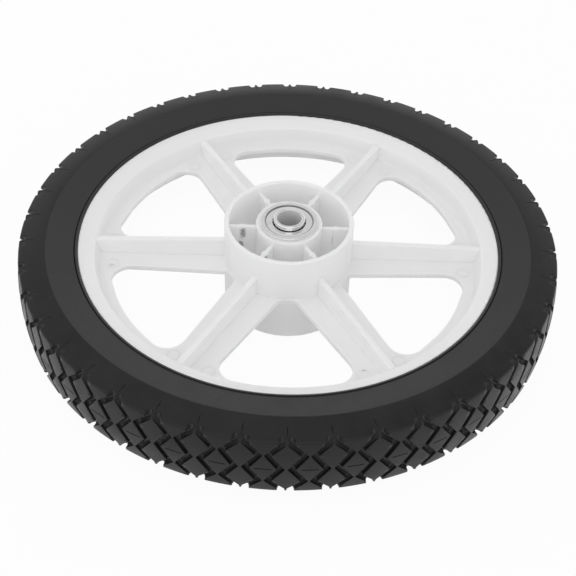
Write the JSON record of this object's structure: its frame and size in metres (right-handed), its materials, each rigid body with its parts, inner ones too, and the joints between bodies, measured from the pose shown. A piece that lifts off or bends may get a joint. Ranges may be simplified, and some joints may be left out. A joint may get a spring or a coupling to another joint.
{
  "type": "wheelbarrow wheel",
  "caption": "Wheelbarrow wheel with a diamond-tread rubber tyre on a ribbed plastic spoked moulding, turning on flanged ball bearings.",
  "frame": {"origin": "middle of the hub, on the axle's axis", "axes": "+Z along the axle; +X along a spoke; the wheel lies flat, as in the picture"},
  "size_m": [0.3556, 0.3556, 0.0702],
  "materials": {
    "tyre_rubber": "moulded, matt",
    "white_plastic": "moulded, satin",
    "plated_steel": "bright plated",
    "ball_steel": "polished",
    "plain_steel": "drawn tube"
  },
  "bodies": {
    "axle_rings": {"upper_inner_ring": "plated_steel", "lower_inner_ring": "plated_steel", "spacer_tube": "plain_steel"},
    "wheel": {"tyre": "tyre_rubber", "spoked_wheel": "white_plastic", "upper_outer_ring": "plated_steel", "upper_shield": "plated_steel", "lower_outer_ring": "plated_steel", "lower_shield": "plated_steel"},
    "upper_ball_set": {"upper_balls": "ball_steel"},
    "lower_ball_set": {"lower_balls": "ball_steel"}
  },
  "joints": [
    {"name": "wheel_spin", "type": "hinge", "parent": "axle_rings", "child": "wheel", "pos_m": [0, 0, 0], "axis": [0, 0, 1], "continuous": true},
    {"name": "upper_ball_roll", "type": "hinge", "parent": "axle_rings", "child": "upper_ball_set", "pos_m": [0, 0, 0], "axis": [0, 0, 1], "continuous": true},
    {"name": "lower_ball_roll", "type": "hinge", "parent": "axle_rings", "child": "lower_ball_set", "pos_m": [0, 0, 0], "axis": [0, 0, 1], "continuous": true}
  ],
  "couplings": [
    {"joint": "upper_ball_roll", "follows": "wheel_spin", "ratio": 0.625},
    {"joint": "lower_ball_roll", "follows": "wheel_spin", "ratio": 0.625}
  ]
}
